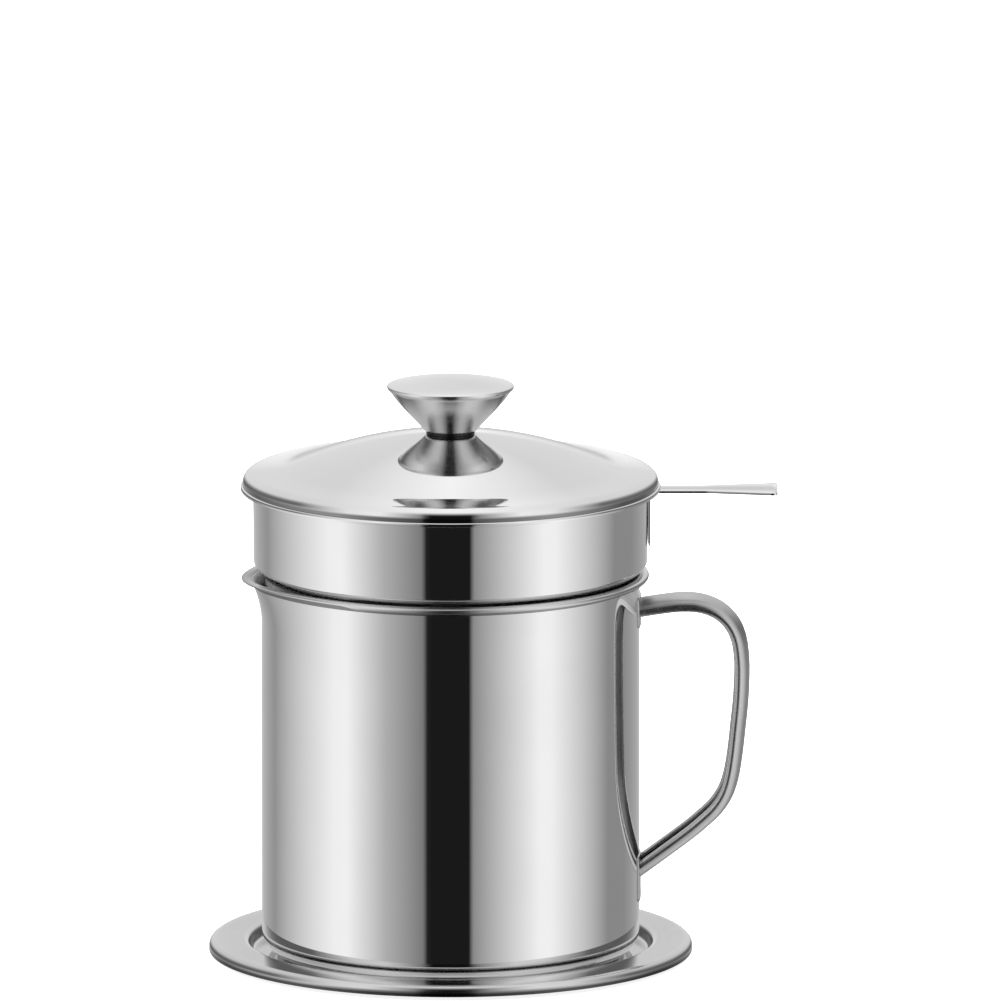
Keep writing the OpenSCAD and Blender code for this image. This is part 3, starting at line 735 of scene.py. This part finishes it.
lid_loop = sheet_loop(lid_line, -SHEET, 0.0, (False, True))
lathe("lid_dome", lid_loop, seg_of(360), LID_Z, M_LID, "lid", ["lid_shell"])


def dome_z(r):
    return float(np.interp(r, lid_line[:, 0], lid_line[:, 1]))


SK = SKIRT_R - HT
sk = [(r, dome_z(r) - SHEET - HT - 0.08) for r in (58.5, 59.7, 60.9, 62)]
sk += [(SK - 0.6, dome_z(SK) - SHEET - HT - 0.12), (SK - 0.1, dome_z(SK) - SHEET - 0.85), (SK, -0.6), (SK, -3), (SK, -6),
       (SK, -SKIRT_H + 3.2), (SK - 0.12, -SKIRT_H + 2.95), (SK - 0.55, -SKIRT_H + 2.8), (SK - 0.6, -SKIRT_H + 2.55),
       (SK - 0.2, -SKIRT_H + 2.35), (SK + 0.2, -SKIRT_H + 2), (SK + 0.3, -SKIRT_H + 1.4), (SK + 0.15, -SKIRT_H + 0.8),
       (SK - 0.25, -SKIRT_H + 0.4), (SK - 0.9, -SKIRT_H + HT)]
sk_line = spline(sk, 5)
lathe("lid_ring", sheet_loop(sk_line, -HT, HT), seg_of(360), LID_Z, M_SKIRT, "lid", ["lid_skirt"])

# ------------------------------------------------------------------ knob
neck = [(SCREW_R + 0.3, 0), (NECK_R - 0.15, 0), (NECK_R, 0.15), (NECK_R, NECK_H - 0.15), (NECK_R - 0.15, NECK_H), (SCREW_R + 0.3, NECK_H)]
lathe("knob_neck", neck, seg_of(120), KNOB_Z, M_NECK, "lid", ["knob_neck_washer"], 50.0)
cone = [(SCREW_R + 0.3, 0), (5, 0), (CONE_R - 0.6, 0), (CONE_R - 0.25, 0.04), (CONE_R + 0.1, 0.2)]
cone += [(CONE_R + 0.2 + (CONE_TOP - CONE_R - 0.5) * t + 1.1 * math.sin(math.pi * t) * t, 0.2 + (CONE_H - 0.6) * t)
         for t in np.linspace(0, 11 / 12, 34)[1:]]
cone += [(CONE_TOP - 0.12, CONE_H - 0.8), (CONE_TOP, CONE_H - 0.4), (CONE_TOP, CONE_H)]
lathe("knob_upper", sheet_loop(cone, 0.0, 0.8, (False, False)), seg_of(240), CONE_Z, M_KNOB, "lid", ["knob_cone"], 30.0)
cap = spline([(0, 0.95), (6, 0.92), (12, 0.82), (17, 0.66), (CONE_TOP - 1.2, 0.52), (CONE_TOP - 0.45, 0.42),
              (CONE_TOP - 0.08, 0.25), (CONE_TOP, 0.0)], 5)
cap[0] = (0, 0.95)
lathe("knob_disc", [(0, 0)] + [tuple(q) for q in cap[::-1]], seg_of(240), CAP_Z, M_CAP, "lid", ["knob_cap"], 30.0)

# small inner parts keep their CAD shape and get their own finish
for n_, m_ in (("knob_threaded_insert", M_BRASS), ("lid_screw", M_SCREW), ("screw_washer", M_SCREW)):
    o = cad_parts[n_]
    o.data.materials.clear()
    o.data.materials.append(m_)

# ------------------------------------------------------------------ floor
def floor_material():
    m, nt, b = new_mat("floor_pale")
    tc = node(nt, "ShaderNodeTexCoord")
    f = noise(nt, tc.outputs["Object"], 3.0, 3.0, 0.5)
    mix = node(nt, "ShaderNodeMix", data_type="RGBA")
    mix.inputs["A"].default_value = (0.9, 0.9, 0.9, 1)
    mix.inputs["B"].default_value = (0.93, 0.93, 0.93, 1)
    nt.links.new(f, mix.inputs["Factor"])
    nt.links.new(mix.outputs["Result"], b.inputs["Base Color"])
    nt.links.new(mix.outputs["Result"], b.inputs["Emission Color"])
    b.inputs["Emission Strength"].default_value = 0.95
    b.inputs["Roughness"].default_value = 0.9
    b.inputs["Specular IOR Level"].default_value = 0.1
    return m


fm = bpy.data.meshes.new("floor")
S = 7.0
fm.from_pydata([(-S, -S, 0), (S, -S, 0), (S, S, 0), (-S, S, 0)], [], [(0, 1, 2, 3)])
fm.materials.append(floor_material())
floor = bpy.data.objects.new("floor", fm)
scene.collection.objects.link(floor)
floor.location.z = -0.0002
floor.visible_glossy = False

# ------------------------------------------------------------------ light
# A white studio with a black card behind the camera and soft boxes on both sides of it. The light is laid out by the
# slope that mirrors it to the camera's place: "turn" is the way that slope faces, from 0 towards the camera to 90 on
# either side, and "tilt" is how far it faces up, from 0 for a wall to 90 for a flat top.
world = bpy.data.worlds.new("studio")
scene.world = world
world.use_nodes = True
nt = world.node_tree
nt.nodes.clear()
w_out = node(nt, "ShaderNodeOutputWorld")
tc = node(nt, "ShaderNodeTexCoord")
add_v = node(nt, "ShaderNodeVectorMath", operation="ADD")
nt.links.new(tc.outputs["Generated"], add_v.inputs[0])
add_v.inputs[1].default_value = (0.0, -math.cos(ELEV), math.sin(ELEV))
half_v = node(nt, "ShaderNodeVectorMath", operation="NORMALIZE")
nt.links.new(add_v.outputs[0], half_v.inputs[0])
sep = node(nt, "ShaderNodeSeparateXYZ")
nt.links.new(half_v.outputs[0], sep.inputs[0])
turn = math_node(nt, "ARCTAN2", sep.outputs[0], math_node(nt, "MULTIPLY", sep.outputs[1], -1.0))
turn = map_range(nt, turn, 0.0, 1.0, -math.pi, math.pi)
tilt = math_node(nt, "ARCSINE", sep.outputs[2])


def lin(v):
    """Light that gives this display value on polished steel."""
    v = v / 255.0
    return (v / 12.92 if v <= 0.04045 else ((v + 0.055) / 1.055) ** 2.4) / 0.8


def ramp(stops):
    r = node(nt, "ShaderNodeValToRGB")
    r.color_ramp.interpolation = "LINEAR"
    e = r.color_ramp.elements
    while len(e) > 1:
        e.remove(e[-1])
    e[0].position = 0.5 + stops[0][0] / 360.0
    e[0].color = (*[lin(stops[0][1])] * 3, 1)
    for p, c in stops[1:]:
        x = e.new(0.5 + p / 360.0)
        x.color = (*[lin(c)] * 3, 1)
    nt.links.new(turn, r.inputs[0])
    return r.outputs[0]


# a card in the middle, a soft box on either side of it, and the grey room beyond them
wall_row = ramp([(-180, 185), (-90, 190), (-68, 142), (-38, 238), (-33, 240), (-20, 174), (-8, 120), (-7, 25), (6.4, 25), (6.6, 136),
                 (28, 240), (32, 240), (56, 135), (66, 135), (90, 180), (180, 185)])
dish_row = ramp([(-150, 190), (-85, 95), (-47, 100), (-30, 225), (-20, 235), (-8, 130), (-6.6, 15), (6, 15), (8, 130),
                 (20, 235), (30, 225), (47, 100), (85, 95), (150, 190)])
top_row = ramp([(-180, 248), (-120, 245), (-90, 210), (-45, 210), (0, 243), (45, 210), (90, 210), (120, 245), (180, 248)])


def smooth(x, a, b):
    n = node(nt, "ShaderNodeMapRange", interpolation_type="SMOOTHSTEP")
    n.inputs["From Min"].default_value = a
    n.inputs["From Max"].default_value = b
    nt.links.new(x, n.inputs["Value"])
    return n.outputs["Result"]


def mix_c(fac, a, b):
    n = node(nt, "ShaderNodeMix", data_type="RGBA")
    nt.links.new(fac, n.inputs["Factor"])
    nt.links.new(a, n.inputs["A"])
    nt.links.new(b, n.inputs["B"])
    return n.outputs["Result"]


col = mix_c(smooth(tilt, math.radians(3), math.radians(17)), wall_row, dish_row)
col = mix_c(smooth(tilt, math.radians(24), math.radians(54)), col, top_row)
flat_c = node(nt, "ShaderNodeRGB")
flat_c.outputs[0].default_value = (*[lin(200)] * 3, 1)
col = mix_c(smooth(tilt, math.radians(86), math.radians(89)), col, flat_c.outputs[0])
# right behind the object all the slopes meet in one point, so the light is even round it
length = node(nt, "ShaderNodeVectorMath", operation="LENGTH")
nt.links.new(add_v.outputs[0], length.inputs[0])
away = smooth(length.outputs["Value"], 0.12, 0.34)
even_c = node(nt, "ShaderNodeRGB")
even_c.outputs[0].default_value = (*[lin(184)] * 3, 1)
col = mix_c(away, even_c.outputs[0], col)
# the table's shade, low in front
shade = smooth(math_node(nt, "MULTIPLY", tilt, -1.0), math.radians(36), math.radians(76))
dim = math_node(nt, "SUBTRACT", 1.0, math_node(nt, "MULTIPLY", math_node(nt, "MULTIPLY", shade, away), 0.7))
bg = node(nt, "ShaderNodeBackground")
nt.links.new(col, bg.inputs[0])
nt.links.new(dim, bg.inputs[1])
white = node(nt, "ShaderNodeBackground")
white.inputs[0].default_value = (1.0, 1.0, 1.0, 1)
lp = node(nt, "ShaderNodeLightPath")
mixs = node(nt, "ShaderNodeMixShader")
nt.links.new(lp.outputs["Is Camera Ray"], mixs.inputs[0])
nt.links.new(bg.outputs[0], mixs.inputs[1])
nt.links.new(white.outputs[0], mixs.inputs[2])
nt.links.new(mixs.outputs[0], w_out.inputs[0])


# a broad soft light from above that only the floor and the rough finishes feel
sun_d = bpy.data.lights.new("ceiling", "SUN")
sun_d.energy = 3.4
sun_d.angle = math.radians(100)
sun = bpy.data.objects.new("ceiling", sun_d)
scene.collection.objects.link(sun)
sun.rotation_euler = (math.radians(8), math.radians(-10), 0)
sun.visible_glossy = False

scene.view_settings.view_transform = "Standard"
scene.view_settings.look = "None"
scene.cycles.caustics_reflective = False
scene.cycles.caustics_refractive = False
scene.cycles.max_bounces = 18
scene.cycles.glossy_bounces = 16
